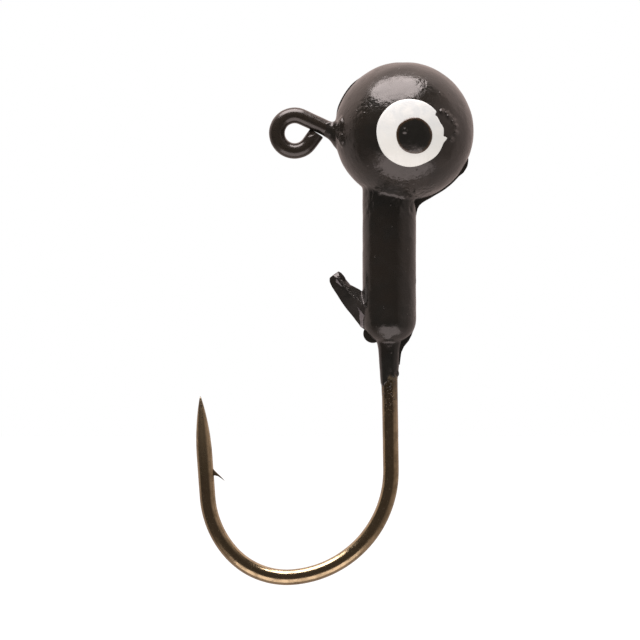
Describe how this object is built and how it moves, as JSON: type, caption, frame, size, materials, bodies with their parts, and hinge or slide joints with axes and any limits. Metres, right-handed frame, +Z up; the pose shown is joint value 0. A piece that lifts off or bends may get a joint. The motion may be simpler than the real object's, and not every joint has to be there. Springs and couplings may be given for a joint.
{
  "type": "jig head",
  "caption": "Round-head fishing jig: a bent wire hook with a line eye, a painted lead ball and collar cast round it, and a keeper barb.",
  "frame": {"origin": "centre of the line eye's hole", "axes": "+Z up along the shank towards the ball, +X from the line eye to the shank, Y across the hook's plane and along the line eye's hole"},
  "size_m": [0.0201, 0.0104, 0.0379],
  "materials": {
    "hook_wire": "bronzed and lacquered carbon steel wire, bright, stained black at the line eye",
    "lead": "cast antimonial lead, matt grey, wholly under paint",
    "black_paint": "thick gloss black paint with small pits and lumps",
    "white_paint": "gloss white paint, slightly cream, chipped at one edge",
    "pupil_paint": "gloss black paint"
  },
  "bodies": {
    "root": {"hook": "hook_wire", "lead_head": "lead", "black_paint": "black_paint", "front_eye_white": "white_paint", "back_eye_white": "white_paint", "front_pupil": "pupil_paint", "back_pupil": "pupil_paint"}
  },
  "joints": []
}
